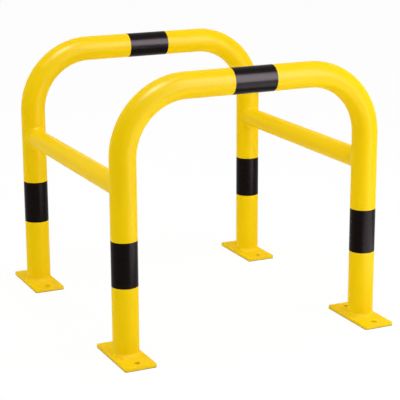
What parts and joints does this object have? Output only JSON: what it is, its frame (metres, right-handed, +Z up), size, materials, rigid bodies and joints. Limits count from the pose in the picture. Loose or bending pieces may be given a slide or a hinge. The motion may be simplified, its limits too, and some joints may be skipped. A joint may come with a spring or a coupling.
{
  "type": "column protector",
  "caption": "Free-standing tubular steel guard for a column: bent tube hoops joined by cross tubes, on bolted base plates, with dark marking bands.",
  "frame": {"origin": "on the floor, in the middle of the protected space, at the centre of the base of the bounding box", "axes": "+Z up; X along the width of the hoops; +Y from the front hoop to the rear hoop, across the space that the cross tubes bridge"},
  "size_m": [0.865, 0.975, 0.8003],
  "materials": {
    "yellow_coat": "smooth semi-gloss powder coat on steel",
    "band_film": "glossy self-adhesive marking film"
  },
  "bodies": {
    "root": {"front_hoop": "yellow_coat", "rear_hoop": "yellow_coat", "left_cross_tube": "yellow_coat", "right_cross_tube": "yellow_coat", "front_left_base_plate": "yellow_coat", "front_right_base_plate": "yellow_coat", "rear_left_base_plate": "yellow_coat", "rear_right_base_plate": "yellow_coat", "front_left_foot_weld": "yellow_coat", "front_right_foot_weld": "yellow_coat", "rear_left_foot_weld": "yellow_coat", "rear_right_foot_weld": "yellow_coat", "front_left_saddle_weld": "yellow_coat", "front_right_saddle_weld": "yellow_coat", "rear_left_saddle_weld": "yellow_coat", "rear_right_saddle_weld": "yellow_coat", "front_left_leg_band": "band_film", "front_right_leg_band": "band_film", "rear_left_leg_band": "band_film", "rear_right_leg_band": "band_film", "front_top_band": "band_film", "rear_top_band": "band_film"}
  },
  "joints": []
}
